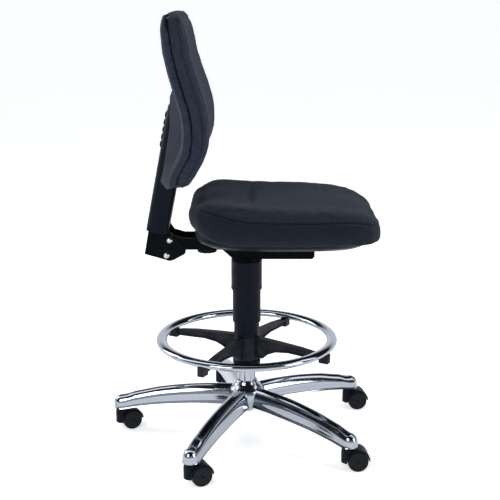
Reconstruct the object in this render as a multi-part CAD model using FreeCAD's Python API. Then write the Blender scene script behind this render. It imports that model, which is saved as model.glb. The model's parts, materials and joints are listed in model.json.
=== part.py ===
"""Drafting chair with a foot ring, as an assembly of separate parts.

Millimetres. +Z up, +X is the way the sitter faces, +Y the sitter's left.
The origin is on the floor, on the axis of the gas column.
Each part is written to parts/NODE.step. Parts that move apart keep a running gap.
"""

import FreeCAD
import Part
import math
import os

V = FreeCAD.Vector
UP = V(0, 0, 1)
ALONG_X = V(1, 0, 0)
ALONG_Y = V(0, 1, 0)
GAP = 0.5  # between parts that move past each other
FIT = 0.05  # radial clearance of a running shaft

# ---------------------------------------------------------------- driving dimensions

# five-leg base
LEGS = 5
FIRST_LEG = 30.8  # degrees from +X
STEM_CIRCLE_R = 325.0  # column axis to caster stem
LEG_END_R = 22.0
LEG_END_BOTTOM = 56.0
HUB_R = 47.0
HUB_BOTTOM = 84.0
HUB_TOP = 148.0
# distance from the axis, underside, top and half width of a leg's cross-sections
LEG_SECTIONS = [
    (20, 86, 132, 25),
    (90, 85, 131, 24),
    (160, 81, 127, 23),
    (230, 75, 118, 22.5),
    (290, 67, 104, 22),
    (325, 60, 91, 22),
]

# twin-wheel hooded casters
CASTER_TURN = [8.0, 14.0, 27.0, 25.0, 5.0]  # how each one trails, degrees from +X
WHEEL_R = 25.0
WHEEL_W = 17.0
WHEEL_INNER_Y = 7.5  # a wheel's inner face to the caster's middle
TRAIL = 20.0
AXLE_R = 3.0
STEM_R = 5.5
HOOD_INNER_R = 26.5
HOOD_R = 29.5
HOOD_HALF_W = 21.0
CASTER_TOP = LEG_END_BOTTOM - GAP

# gas column
TUBE_R = 22.5
TUBE_BORE_R = 19.5
TUBE_BOTTOM = 66.0
TUBE_TOP = 398.0
CYLINDER_R = 14.0
CYLINDER_BORE_R = 11.5
CYLINDER_BOTTOM = 170.0
CYLINDER_TOP = 486.0
ROD_R = 5.0
PISTON_TOP = 300.0

# telescopic dust cover
COVER_WALL = 1.4
COVER_R = {"upper": 38.5, "middle": 35.2, "lower": 31.8}
COVER_SPAN = {"upper": (388.0, 462.0), "middle": (303.0, 428.0), "lower": (269.0, 392.0)}

# foot ring
RING_R = 215.5  # to the middle of the oval tube
RING_HALF_W = 13.5
RING_HALF_H = 9.3
RING_WALL = 1.6
RING_Z = 257.0
ARMS = 4
FIRST_ARM = 61.5  # degrees from +X
ARM_TOP = 265.0
RING_HUB_R = 31.0
RING_HUB_BOTTOM = 204.0
LOCK_R = 35.0
LOCK_BOTTOM = 190.0

# seat mechanism under the cushion
MECH_BOTTOM = 472.0
MECH_TOP = 534.0
MECH_REAR, MECH_FRONT = -66.0, 167.0
MECH_HALF_W = 33.0
SHEET = 3.0
BOX_REAR, BOX_TOP = 97.0, 500.0  # the lower box in front of the trough
BOSS_R = 38.0
PLATE_REAR, PLATE_FRONT, PLATE_HALF_W = -46.0, 150.0, 80.0
LIFT_LEVER_X, LOCK_LEVER_X = 0.0, 84.0
LEVER_Z = CYLINDER_TOP + 12.0
LEVER_GRIP_Z = 483.0
LEVER_R = 4.0
LEVER_PIVOT_Y = MECH_HALF_W - SHEET / 2
LEVER_PIN_R = 1.2
LEVER_PIN_HALF = 9.0

# tilting back arm and the bracket at its end
PIVOT = V(-30, 0, 504)
PIVOT_PIN_R = 5.0
ARM_OUT = 37.0
BRACKET_OUT = 40.0
WEB_BOTTOM = 497.0
BOLTS = [(-188.0, 521.0), (-196.0, 483.0)]  # the two cross bolts, x and z
BOLT_R = 4.0
KNOB_X = -98.0

# leaning upright that carries the backrest
LEAN = 11.03  # degrees forward of vertical
POST_X, POST_Z = -246.0, 545.0  # lower end of the sleeve's rear face
SLEEVE_DEPTH = 54.0
SLEEVE_TOP_DEPTH = 40.0
SLEEVE_W = 88.0
SLEEVE_STEP = 145.0  # along the post, where the sleeve gets shallower
SLEEVE_LENGTH = 308.0
SLEEVE_WALL = 4.0
SLEEVE_REAR_R, SLEEVE_FRONT_R = 22.0, 9.0  # its upright corners
BAR_DEPTH = 28.0
BAR_INSET = 10.0  # sleeve's rear face to the bar
BAR_W = 2 * (BRACKET_OUT - SHEET)

# seat
SEAT_REAR, SEAT_FRONT = -138.0, 318.0
SEAT_HALF_W = 236.0
BOARD_BOTTOM = 537.0
BOARD_T = 12.0
SHELL_DEPTH = 13.0  # below the board
SHELL_WALL = 3.0
RIM_INSET = 15.0  # the shell's rim behind the cushion's widest line
BOARD_INSET = 37.0
ARMREST_X = (60.0, 140.0)
ARMREST_Y = 150.0
INSERT_R = 8.0
THREAD_R = 4.0

# backrest
BACK_T = 8.0  # inner shell
BACK_BOTTOM, BACK_TOP = 668.0, 1066.0
HOUSING_HALF_W = 52.0
HOUSING_BOTTOM, HOUSING_TOP = 650.0, 888.0


# ---------------------------------------------------------------- small tools


def save(name, *shapes):
    """Writes one node, checking that every solid in it is closed and valid."""
    solids = [s for shape in shapes for s in shape.Solids]
    for solid in solids:
        if not solid.isValid() or solid.Volume <= 0:
            raise ValueError(f"{name}: a solid isn't valid")
    whole = solids[0] if len(solids) == 1 else Part.makeCompound(solids)
    whole.exportStep(f"parts/{name}.step")


def cylinder(r, z0, z1, x=0.0, y=0.0):
    return Part.makeCylinder(r, z1 - z0, V(x, y, z0), UP)


def tube(r_out, r_in, z0, z1, x=0.0, y=0.0):
    return cylinder(r_out, z0, z1, x, y).cut(cylinder(r_in, z0 - 1, z1 + 1, x, y))


def cross_cylinder(r, y0, y1, x, z):
    """A cylinder along Y."""
    return Part.makeCylinder(r, y1 - y0, V(x, y0, z), ALONG_Y)


def box(x0, x1, y0, y1, z0, z1):
    return Part.makeBox(x1 - x0, y1 - y0, z1 - z0, V(x0, y0, z0))


def closed_face(points):
    return Part.Face(Part.makePolygon(points + points[:1]))


def side_prism(outline, half_w):
    """Extrudes an outline of (x, z) points across the chair, from -half_w to half_w."""
    face = closed_face([V(x, -half_w, z) for x, z in outline])
    return face.extrude(V(0, 2 * half_w, 0))


def revolve(outline):
    """Turns an outline of (r, z) points about the Z axis."""
    face = closed_face([V(r, 0, z) for r, z in outline])
    return face.revolve(V(0, 0, 0), UP, 360)


def turned(shape, degrees, centre=V(0, 0, 0), axis=UP):
    copy = shape.copy()
    copy.rotate(centre, axis, degrees)
    return copy


def mirrored(shape):
    return shape.mirror(V(0, 0, 0), ALONG_Y)


def smooth_wire(points):
    """A closed smooth curve through the points."""
    curve = Part.BSplineCurve()
    curve.interpolate(points, PeriodicFlag=True)
    return Part.Wire(curve.toShape())


def interpolate(table, x, column):
    """Reads a column of a table of rows at x, on the straight line between two rows."""
    if x <= table[0][0]:
        return table[0][column]
    for a, b in zip(table, table[1:]):
        if x <= b[0]:
            t = (x - a[0]) / (b[0] - a[0])
            return a[column] + (b[column] - a[column]) * t
    return table[-1][column]


# ---------------------------------------------------------------- base and casters


def leg_wire(distance, bottom, top, half_w):
    """An arched cross-section of a leg that runs along +X: flat underside, straight
    flanks and a round back."""
    shoulder = bottom + 0.48 * (top - bottom)
    low_left, low_right = V(distance, half_w, bottom), V(distance, -half_w, bottom)
    left, right = V(distance, half_w * 0.93, shoulder), V(distance, -half_w * 0.93, shoulder)
    back = Part.Arc(left, V(distance, 0, top), right).toShape()
    return Part.Wire(
        [
            Part.LineSegment(low_right, low_left).toShape(),
            Part.LineSegment(low_left, left).toShape(),
            back,
            Part.LineSegment(right, low_right).toShape(),
        ]
    )


def leg():
    body = Part.makeLoft([leg_wire(*s) for s in LEG_SECTIONS], True, True)
    top = LEG_SECTIONS[-1][2] - 1
    end = revolve(
        [
            (0, LEG_END_BOTTOM),
            (LEG_END_R - 2, LEG_END_BOTTOM),
            (LEG_END_R, LEG_END_BOTTOM + 2),
            (LEG_END_R, top - 14),
            (LEG_END_R - 1.5, top - 8),
            (LEG_END_R - 5, top - 4),
            (LEG_END_R - 11, top - 1),
            (0, top),
        ]
    )
    end.translate(V(STEM_CIRCLE_R, 0, 0))
    return body.fuse(end)


def leg_hollow():
    """The closed hollow inside a leg."""
    wall = 5.0
    sections = [
        (62, 90, 124, 20),
        (160, 86, 121, 18.5),
        (230, 80, 112, 18),
        (290, 72, 99, 16),
    ]
    wires = [leg_wire(r, b, t - wall + 3, w) for r, b, t, w in sections]
    return Part.makeLoft(wires, True, True)


def star_base():
    hub = revolve(
        [
            (0, HUB_BOTTOM),
            (HUB_R, HUB_BOTTOM),
            (HUB_R, 118),
            (42, 128),
            (34, 136),
            (29, 142),
            (27, HUB_TOP),
            (0, HUB_TOP),
        ]
    )
    legs = [turned(leg(), FIRST_LEG + 360 / LEGS * i) for i in range(LEGS)]
    hollows = [turned(leg_hollow(), FIRST_LEG + 360 / LEGS * i) for i in range(LEGS)]
    whole = hub.fuse(legs).cut(Part.makeCompound(hollows))
    bore = cylinder(TUBE_R, HUB_BOTTOM - 1, HUB_TOP + 1)
    sockets = [
        cylinder(STEM_R + 1.5, LEG_END_BOTTOM - 1, LEG_END_BOTTOM + 25, *p) for p in stem_places()
    ]
    return whole.cut([bore] + sockets).removeSplitter()


def leg_angle(i):
    return math.radians(FIRST_LEG + 360 / LEGS * i)


def stem_places():
    return [
        (STEM_CIRCLE_R * math.cos(leg_angle(i)), STEM_CIRCLE_R * math.sin(leg_angle(i)))
        for i in range(LEGS)
    ]


def caster_stems():
    """Steel stems, one in each leg, with the collar that the caster hangs on."""
    stems = []
    for x, y in stem_places():
        shank = cylinder(STEM_R, CASTER_TOP - 22, LEG_END_BOTTOM + 24, x, y)
        z = LEG_END_BOTTOM + 16
        ring_groove = tube(STEM_R + 0.5, STEM_R - 0.8, z, z + 2, x, y)
        stems.append(shank.cut(ring_groove))
    return stems


def caster_sockets():
    """Plastic sleeves pressed into the leg ends, around the stems."""
    return [
        tube(STEM_R + 1.5, STEM_R, LEG_END_BOTTOM + 0.5, LEG_END_BOTTOM + 24.5, x, y)
        for x, y in stem_places()
    ]


def caster_housing():
    """The hooded fork between the two wheels, trailing along +X from the stem."""
    hood = cross_cylinder(HOOD_R, -HOOD_HALF_W, HOOD_HALF_W, TRAIL, WHEEL_R)
    below = box(-60, 80, -40, 40, -40, WHEEL_R + 1)
    front = box(-18, 2, -17, 17, 19, WHEEL_R + 22)
    stem_block = cylinder(17, 19, CASTER_TOP - 1.5)
    collar = cylinder(12, CASTER_TOP - 4, CASTER_TOP)
    body = hood.cut(below).fuse([stem_block, front.common(cylinder(18, 0, 90)), collar])
    wheel_room = cross_cylinder(HOOD_INNER_R, -40, 40, TRAIL, WHEEL_R)
    fork = box(2, TRAIL + 21, -6, 6, 14, WHEEL_R + 24).common(
        cross_cylinder(HOOD_INNER_R + 1, -10, 10, TRAIL, WHEEL_R)
    )
    boss = cross_cylinder(7, -7, 7, TRAIL, WHEEL_R)
    body = body.cut(wheel_room).fuse([fork, boss])
    body = body.cut(cross_cylinder(AXLE_R, -10, 10, TRAIL, WHEEL_R))
    body = body.cut(cylinder(STEM_R + FIT, CASTER_TOP - 22 - GAP, 60))
    under = box(-60, 80, -40, 40, -10, 12)
    return body.cut(under).removeSplitter()


def caster_axle():
    half = WHEEL_INNER_Y + WHEEL_W - 3
    return cross_cylinder(AXLE_R, -half, half, TRAIL, WHEEL_R)


def caster_wheel():
    """One wheel: crowned tread, recessed face with a raised rim, bored for the axle."""
    r, w = WHEEL_R, WHEEL_W
    outline = [
        (AXLE_R + FIT, 0),
        (r - 2.5, 0),
        (r - 0.6, 1.2),
        (r, 3.5),
        (r, w - 4.5),
        (r - 0.8, w - 2),
        (r - 2.6, w),
        (r - 4.2, w),
        (r - 4.8, w - 1.0),
        (8, w - 1.6),
        (7.4, w - 0.8),
        (AXLE_R + FIT + 2, w - 0.8),
        (AXLE_R + FIT, w - 1.2),
    ]
    wheel = turned(revolve(outline), -90, axis=ALONG_X)
    wheel.translate(V(TRAIL, WHEEL_INNER_Y, WHEEL_R))
    return wheel


def placed_caster(shape, i):
    """Moves a caster part from the origin to leg i, trailing the way it stands."""
    copy = turned(shape, CASTER_TURN[i])
    x, y = stem_places()[i]
    copy.translate(V(x, y, 0))
    return copy


def build_casters():
    housing, axle, wheel = caster_housing(), caster_axle(), caster_wheel()
    for i in range(LEGS):
        save(f"caster_housing_{i + 1}", placed_caster(housing, i))
        save(f"caster_axle_{i + 1}", placed_caster(axle, i))
        pair = [placed_caster(wheel, i), placed_caster(mirrored(wheel), i)]
        save(f"caster_wheels_{i + 1}", *pair)


# ---------------------------------------------------------------- gas column


def column_tube():
    """Chromed stand tube, tapered where it sits in the base, with a floor at its end."""
    wall = tube(TUBE_R, TUBE_BORE_R, TUBE_BOTTOM + 12, TUBE_TOP)
    floor = revolve(
        [
            (ROD_R + FIT, TUBE_BOTTOM),
            (TUBE_R - 3, TUBE_BOTTOM),
            (TUBE_R, TUBE_BOTTOM + 12),
            (ROD_R + FIT, TUBE_BOTTOM + 12),
        ]
    )
    return wall.fuse(floor).removeSplitter()


def column_bush():
    """Plastic guide between the stand tube and the gas cylinder."""
    guide = tube(TUBE_BORE_R, CYLINDER_R + FIT, TUBE_TOP - 88, TUBE_TOP)
    lip = tube(TUBE_R, CYLINDER_R + FIT, TUBE_TOP, TUBE_TOP + 2)
    return guide.fuse(lip).removeSplitter()


def piston_rod():
    """Rod with its piston, and the grooved end that the clip holds."""
    rod = cylinder(ROD_R, TUBE_BOTTOM - 6, PISTON_TOP)
    piston = cylinder(CYLINDER_BORE_R - FIT, PISTON_TOP - 10, PISTON_TOP)
    groove = tube(ROD_R + 1, ROD_R - 1.2, TUBE_BOTTOM - 4, TUBE_BOTTOM - 2.4)
    return rod.fuse(piston).cut(groove)


def column_clip():
    """Retaining clip and washer that hold the rod's end."""
    washer = tube(10, ROD_R, TUBE_BOTTOM - 2.2, TUBE_BOTTOM - GAP)
    clip = tube(8.5, ROD_R - 1.2, TUBE_BOTTOM - 4, TUBE_BOTTOM - 2.4)
    return [washer, clip.cut(box(0, 12, -2.5, 2.5, TUBE_BOTTOM - 8, TUBE_BOTTOM))]


def thrust_bearing():
    """Two races and a ring of balls that let the seat turn, with a rubber bumper on top."""
    floor = TUBE_BOTTOM + 12 + GAP
    races = [tube(13, ROD_R, floor, floor + 1.5), tube(13, ROD_R, floor + 5.6, floor + 7.1)]
    count = 8
    balls = [
        Part.makeSphere(
            2.0,
            V(
                9.5 * math.cos(2 * math.pi * i / count),
                9.5 * math.sin(2 * math.pi * i / count),
                floor + 3.55,
            ),
        )
        for i in range(count)
    ]
    bumper = tube(12, ROD_R, floor + 7.1, floor + 22)
    return races + balls + [bumper]


def gas_cylinder():
    """Pressure tube: closed by a gland at the bottom, tapered at the top."""
    gland = 15.0
    outside = revolve(
        [
            (0, CYLINDER_BOTTOM),
            (CYLINDER_R, CYLINDER_BOTTOM),
            (CYLINDER_R, CYLINDER_TOP - 30),
            (CYLINDER_R - 0.8, CYLINDER_TOP),
            (0, CYLINDER_TOP),
        ]
    )
    inside = cylinder(CYLINDER_BORE_R, CYLINDER_BOTTOM + gland, CYLINDER_TOP - 34)
    rod_way = cylinder(ROD_R + FIT, CYLINDER_BOTTOM - 1, CYLINDER_BOTTOM + gland + 1)
    pin_way = cylinder(4 + FIT, CYLINDER_TOP - 12, CYLINDER_TOP + 1)
    return outside.cut([inside, rod_way, pin_way])


def release_pin():
    """Valve button in the cylinder's top."""
    pin = cylinder(4, CYLINDER_TOP - 7, CYLINDER_TOP + 5.5)
    cap = Part.makeCone(4, 2.5, 1.2, V(0, 0, CYLINDER_TOP + 5.5), UP)
    return pin.fuse(cap)


def cover_stage(name):
    """One sleeve of the dust cover, with a bead round its lower rim."""
    r = COVER_R[name]
    z0, z1 = COVER_SPAN[name]
    return revolve(
        [
            (r - COVER_WALL, z0),
            (r - 0.5, z0),
            (r + 0.25, z0 + 2.5),
            (r + 0.25, z0 + 7),
            (r - 0.15, z0 + 8.5),
            (r - 0.15, z1),
            (r - COVER_WALL, z1),
        ]
    )


def cover_upper():
    """The top stage is closed by a disc that seats on the gas cylinder."""
    z1 = COVER_SPAN["upper"][1]
    disc = tube(COVER_R["upper"] - 0.15, CYLINDER_R, z1 - 2, z1)
    return cover_stage("upper").fuse(disc).removeSplitter()


# ---------------------------------------------------------------- foot ring


def oval_wire(half_w, half_h):
    """The ring tube's section, standing on the +X axis."""
    oval = Part.Ellipse(V(RING_R, 0, RING_Z), half_w, half_h)
    wire = Part.Wire(oval.toShape())
    return turned(wire, 90, V(RING_R, 0, RING_Z), ALONG_X)


def foot_ring_tube():
    def torus(half_w, half_h):
        return Part.Face(oval_wire(half_w, half_h)).revolve(V(0, 0, 0), UP, 360)

    outer = torus(RING_HALF_W, RING_HALF_H)
    inner = torus(RING_HALF_W - RING_WALL, RING_HALF_H - RING_WALL)
    holes = [cylinder(2.2, RING_Z - 12, RING_Z - 4, *p) for p in arm_ends()]
    return outer.cut(inner).cut(Part.makeCompound(holes))


def arm_ends():
    angles = [math.radians(FIRST_ARM + 360 / ARMS * i) for i in range(ARMS)]
    return [(RING_R * math.cos(a), RING_R * math.sin(a)) for a in angles]


def ring_arm():
    """A spoke: a deep root that thins to a beam, and a saddle under the ring."""
    outline = [
        (24, ARM_TOP),
        (75, ARM_TOP - 3),
        (150, ARM_TOP - 9),
        (196, ARM_TOP - 16),
        (230, ARM_TOP - 16),
        (230, ARM_TOP - 30),
        (226, ARM_TOP - 37),
        (216, ARM_TOP - 38),
        (207, ARM_TOP - 31),
        (120, ARM_TOP - 27),
        (85, ARM_TOP - 31),
        (62, ARM_TOP - 41),
        (48, ARM_TOP - 54),
        (24, ARM_TOP - 56),
    ]
    web = side_prism(outline, 4.0)
    flange = side_prism(
        [(24, ARM_TOP), (75, ARM_TOP - 3), (150, ARM_TOP - 9), (200, ARM_TOP - 16)]
        + [(200, ARM_TOP - 20.5), (150, ARM_TOP - 13.5), (75, ARM_TOP - 7.5), (24, ARM_TOP - 4.5)],
        9.0,
    )
    foot = box(205, 236, -8, 8, ARM_TOP - 37, ARM_TOP - 14)
    foot = foot.common(cylinder(RING_R + RING_HALF_W, 0, 500))
    bottom_rib = side_prism(
        [(48, ARM_TOP - 54), (62, ARM_TOP - 41), (85, ARM_TOP - 31), (120, ARM_TOP - 27)]
        + [(207, ARM_TOP - 31), (207, ARM_TOP - 28), (120, ARM_TOP - 24), (85, ARM_TOP - 27)]
        + [(60, ARM_TOP - 38), (45, ARM_TOP - 50)],
        6.5,
    )
    return web.fuse([flange, foot, bottom_rib])


def foot_ring_hub():
    """Four-spoke spider whose hub slides on the stand tube."""
    hub = cylinder(RING_HUB_R, RING_HUB_BOTTOM, ARM_TOP)
    arms = [turned(ring_arm(), FIRST_ARM + 360 / ARMS * i) for i in range(ARMS)]
    whole = hub.fuse(arms)
    ring_seat = Part.Face(oval_wire(RING_HALF_W, RING_HALF_H)).revolve(V(0, 0, 0), UP, 360)
    screw_ways = [cylinder(2.6, 200, RING_Z, *p) for p in arm_ends()]
    head_ways = [cylinder(5, 200, ARM_TOP - 33, *p) for p in arm_ends()]
    bore = cylinder(TUBE_R + 4 + FIT, RING_HUB_BOTTOM - 1, ARM_TOP + 1)
    return whole.cut([ring_seat, bore] + screw_ways + head_ways).removeSplitter()


def foot_ring_screws():
    """One screw up through each spoke's end into the ring."""
    screws = []
    for x, y in arm_ends():
        head = cylinder(4.6, ARM_TOP - 37, ARM_TOP - 33, x, y)
        slot = box(x - 3, x + 3, y - 0.7, y + 0.7, ARM_TOP - 38, ARM_TOP - 35.5)
        screws.append(head.fuse(cylinder(2.2, ARM_TOP - 33, RING_Z - 4, x, y)).cut(slot))
    return screws


def foot_ring_collet():
    """Split plastic sleeve that grips the stand tube when the lock ring is turned."""
    sleeve = tube(TUBE_R + 4, TUBE_R + FIT, RING_HUB_BOTTOM - 8, ARM_TOP + 3.5)
    lip = tube(RING_HUB_R, TUBE_R + FIT, ARM_TOP + GAP, ARM_TOP + 3.5)
    slit = box(0, 60, -1.5, 1.5, RING_HUB_BOTTOM - 20, ARM_TOP - 4)
    return sleeve.fuse(lip).cut(slit).removeSplitter()


def foot_ring_lock():
    """Ribbed ring under the hub that is turned by hand to clamp the collet."""
    ring = revolve(
        [
            (TUBE_R + 4 + FIT, LOCK_BOTTOM),
            (LOCK_R - 3, LOCK_BOTTOM),
            (LOCK_R, LOCK_BOTTOM + 3),
            (LOCK_R, RING_HUB_BOTTOM - 2),
            (LOCK_R - 2, RING_HUB_BOTTOM - GAP),
            (TUBE_R + 4 + FIT, RING_HUB_BOTTOM - GAP),
        ]
    )
    ribs = 20
    flutes = []
    for i in range(ribs):
        a = 2 * math.pi * i / ribs
        flutes.append(
            cylinder(2.2, 180, 210, (LOCK_R + 1) * math.cos(a), (LOCK_R + 1) * math.sin(a))
        )
    return ring.cut(Part.makeCompound(flutes))


# ---------------------------------------------------------------- seat mechanism


def mech_housing():
    """Pressed steel trough with a boss for the gas cylinder, open towards the back arm."""
    outline = [
        (MECH_REAR, MECH_TOP),
        (MECH_REAR, 502),
        (-36, MECH_BOTTOM + 3),
        (-28, MECH_BOTTOM),
        (MECH_FRONT - 6, MECH_BOTTOM),
        (MECH_FRONT, MECH_BOTTOM + 6),
        (MECH_FRONT, BOX_TOP),
        (BOX_REAR, BOX_TOP),
        (BOX_REAR, MECH_TOP),
    ]
    inner = [
        (MECH_REAR - 5, MECH_TOP + 5),
        (MECH_REAR - 5, 507.5),
        (-34, MECH_BOTTOM + 7),
        (-26, MECH_BOTTOM + SHEET),
        (MECH_FRONT - 8, MECH_BOTTOM + SHEET),
        (MECH_FRONT - SHEET, MECH_BOTTOM + 8),
        (MECH_FRONT - SHEET, BOX_TOP + 5),
        (BOX_REAR - SHEET, BOX_TOP + 5),
        (BOX_REAR - SHEET, MECH_TOP + 5),
    ]
    trough = side_prism(outline, MECH_HALF_W).cut(side_prism(inner, MECH_HALF_W - SHEET))
    boss = revolve(
        [
            (0, MECH_BOTTOM - 9.5),
            (BOSS_R - 1, MECH_BOTTOM - 9.5),
            (BOSS_R, MECH_BOTTOM - 8),
            (BOSS_R - 2, MECH_BOTTOM + 2),
            (22, MECH_BOTTOM + 5),
            (20, 490),
            (0, 490),
        ]
    )
    socket = cylinder(CYLINDER_R, MECH_BOTTOM - 20, 500)
    pin_way = cross_cylinder(PIVOT_PIN_R + FIT, -60, 60, PIVOT.x, PIVOT.z)
    levers = (LIFT_LEVER_X, LOCK_LEVER_X)
    lever_ways = [box(x - 6, x + 6, 20, 50, 489, 508) for x in levers]
    pin_seats = [pivot_pin(x, LEVER_PIN_R + FIT, LEVER_PIN_HALF + 0.2) for x in levers]
    return trough.fuse(boss).cut([socket, pin_way] + lever_ways + pin_seats).removeSplitter()


def mech_lid():
    """Pressed lid of the front box, with a lip over its edges."""
    half_w = MECH_HALF_W + 2
    lid = box(BOX_REAR, MECH_FRONT + 2, -half_w, half_w, BOX_TOP, BOX_TOP + 2)
    corners = [e for e in lid.Edges if abs(e.Length - 2) < 1e-6 and e.BoundBox.XMax > MECH_FRONT]
    return lid.makeFillet(5, corners)


def mech_plate():
    """Mounting plate between the trough and the seat board."""
    plate = box(
        PLATE_REAR, PLATE_FRONT, -PLATE_HALF_W, PLATE_HALF_W, MECH_TOP, BOARD_BOTTOM
    )
    edges = [e for e in plate.Edges if abs(e.Length - (BOARD_BOTTOM - MECH_TOP)) < 1e-6]
    plate = plate.makeFillet(14, edges)
    holes = [cylinder(3.2, MECH_TOP - 1, BOARD_BOTTOM + 1, *p) for p in plate_screw_places()]
    return plate.cut(holes)


def plate_screw_places():
    return [(x, y) for x in (-28.0, 128.0) for y in (-62.0, 62.0)]


def mech_screws():
    screws = []
    for x, y in plate_screw_places():
        head = cylinder(6.5, MECH_TOP - 4, MECH_TOP, x, y)
        socket = cylinder(2.5, MECH_TOP - 5, MECH_TOP - 2, x, y)
        screws.append(head.fuse(cylinder(3.2, MECH_TOP, BOARD_BOTTOM + 8, x, y)).cut(socket))
    return screws


def back_pivot_pin():
    pin = cross_cylinder(PIVOT_PIN_R, -ARM_OUT - 3, ARM_OUT + 3, PIVOT.x, PIVOT.z)
    heads = [
        cross_cylinder(8, ARM_OUT + GAP, ARM_OUT + 3, PIVOT.x, PIVOT.z),
        cross_cylinder(8, -ARM_OUT - 3, -ARM_OUT - GAP, PIVOT.x, PIVOT.z),
    ]
    return pin.fuse(heads)


def tilt_spring():
    """Torsion spring on the pivot pin, inside the trough."""
    wire_r, coil_r, pitch = 2.2, 10.5, 5.2
    length = 2 * (MECH_HALF_W - SHEET) - 3 * wire_r
    helix = Part.makeHelix(pitch, length, coil_r)
    section = Part.Wire(Part.makeCircle(wire_r, V(coil_r, 0, 0), V(0, 1, 0)))
    coil = Part.Wire(helix).makePipeShell([section], True, True)
    coil = Part.Solid(coil) if coil.ShapeType != "Solid" else coil
    coil.rotate(V(0, 0, 0), ALONG_X, -90)
    coil.translate(V(PIVOT.x, -length / 2, PIVOT.z))
    return coil


def bent_rod(points, r):
    """A rod through the points with mitred bends, built from capped cylinders."""
    pieces = []
    for a, b in zip(points, points[1:]):
        pieces.append(Part.makeCylinder(r, (b - a).Length, a, b - a))
    joints = [Part.makeSphere(r, p) for p in points[1:-1]]
    return pieces[0].fuse(pieces[1:] + joints).removeSplitter()


def pivot_pin(x, r, half):
    """The cross pin that a lever rocks on, inside the trough's wall."""
    return Part.makeCylinder(r, 2 * half, V(x - half, LEVER_PIVOT_Y, LEVER_Z), ALONG_X)


def lever_rod(x):
    z0, z1 = LEVER_Z, LEVER_GRIP_Z
    route = [V(x, -6, z0), V(x, 46, z0), V(x, 74, z1), V(x, 172, z1)]
    return bent_rod(route, LEVER_R).fuse(pivot_pin(x, LEVER_PIN_R, LEVER_PIN_HALF))


def lever_grip(x):
    """Flat paddle moulded on the end of a lever."""
    y0, y1, z = 138.0, 206.0, LEVER_GRIP_Z
    blade = box(x - 15, x + 15, y0 + 16, y1, z - 4, z + 4)
    upright = [e for e in blade.Edges if abs(e.Length - 8) < 1e-6]
    blade = blade.makeFillet(10, upright)
    neck = cross_cylinder(6.5, y0, y0 + 30, x, z)
    return neck.fuse(blade).cut(cross_cylinder(LEVER_R, y0 - 1, 172, x, z))


def lock_lever():
    """The tilt lock: a lever whose inner end is a flat tongue."""
    tongue = box(LOCK_LEVER_X - 10, LOCK_LEVER_X + 10, -12, 6, LEVER_Z - 3, LEVER_Z + 3)
    return lever_rod(LOCK_LEVER_X).fuse(tongue).removeSplitter()


# ---------------------------------------------------------------- back arm and upright

ARM_OUTLINE = [
    (-12, 504),
    (-17, 516),
    (-30, 522),
    (-84, 527),
    (-96, 536),
    (-104, 537),
    (-113, 532),
    (-122, 526),
    (-155, 526),
    (-178, 533),
    (-200, 533),
    (-212, 520),
    (-214, 482),
    (-203, 476),
    (-186, 474),
    (-165, 483),
    (-152, WEB_BOTTOM),
    (-60, WEB_BOTTOM),
    (-42, 490),
    (-30, 486),
    (-17, 491),
]


def back_arm():
    """Open steel channel from the pivot to the bracket; its web stops short of the trough."""
    solid = side_prism(ARM_OUTLINE, ARM_OUT)
    inside = box(-300, 50, -ARM_OUT + SHEET, ARM_OUT - SHEET, WEB_BOTTOM + SHEET, 600)
    front = box(-76, 50, -ARM_OUT + SHEET, ARM_OUT - SHEET, 400, 600)
    below = box(-300, -150, -ARM_OUT + SHEET, ARM_OUT - SHEET, 400, 600)
    bolt_ways = [cross_cylinder(BOLT_R, -60, 60, x, z) for x, z in BOLTS]
    pin_way = cross_cylinder(PIVOT_PIN_R + FIT, -60, 60, PIVOT.x, PIVOT.z)
    knob_way = cylinder(4 + FIT, 480, 520, KNOB_X)
    cuts = [inside, front, below, pin_way, knob_way] + bolt_ways
    return solid.cut(cuts).removeSplitter()


BRACKET_OUTLINE = [
    (-237, 556),
    (-249.5, 487),
    (-205, 474),
    (-188, 469),
    (-178, 472),
    (-151, 487),
    (-148, 497),
    (-158, 512),
    (-182, 535),
    (-188, 544),
    (-190, 548),
    (-196, 556),
]


def post_place(shape):
    """Moves a part from the upright's own frame, X forward and Z along it, to its place."""
    copy = shape.copy()
    copy.rotate(V(0, 0, 0), ALONG_Y, LEAN)
    copy.translate(V(POST_X, 0, POST_Z))
    return copy


def back_bracket():
    """Folded bracket: two cheeks outside the arm and a rear wall behind the post bar."""
    solid = side_prism(BRACKET_OUTLINE, BRACKET_OUT)
    inner_w = BRACKET_OUT - SHEET
    rear_inside = post_place(box(BAR_INSET, 200, -inner_w, inner_w, -120, 60))
    bolt_ways = [cross_cylinder(BOLT_R, -60, 60, x, z) for x, z in BOLTS]
    sleeve_seat = post_place(sleeve_body(0.4, -0.4, 80, 60))
    return solid.cut([rear_inside, sleeve_seat] + bolt_ways).removeSplitter()


def post_bolts():
    """Two button-head cross bolts with their nuts."""
    fasteners = []
    for x, z in BOLTS:
        out = BRACKET_OUT
        shank = cross_cylinder(BOLT_R, -out, out + 9, x, z)
        dome = Part.makeSphere(9, V(x, -out + 4.2, z)).common(
            cross_cylinder(7.5, -out - 6, -out, x, z)
        )
        socket = cross_cylinder(2.6, -out - 6, -out - 2, x, z)
        fasteners.append(shank.fuse(dome).cut(socket))
        hexagon = Part.Face(
            Part.makePolygon(
                [
                    V(x + 7.5 * math.cos(math.pi / 3 * i), out, z + 7.5 * math.sin(math.pi / 3 * i))
                    for i in range(7)
                ]
            )
        ).extrude(V(0, 6.5, 0))
        fasteners.append(hexagon.cut(cross_cylinder(BOLT_R, 0, 80, x, z)))
    return fasteners


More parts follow.
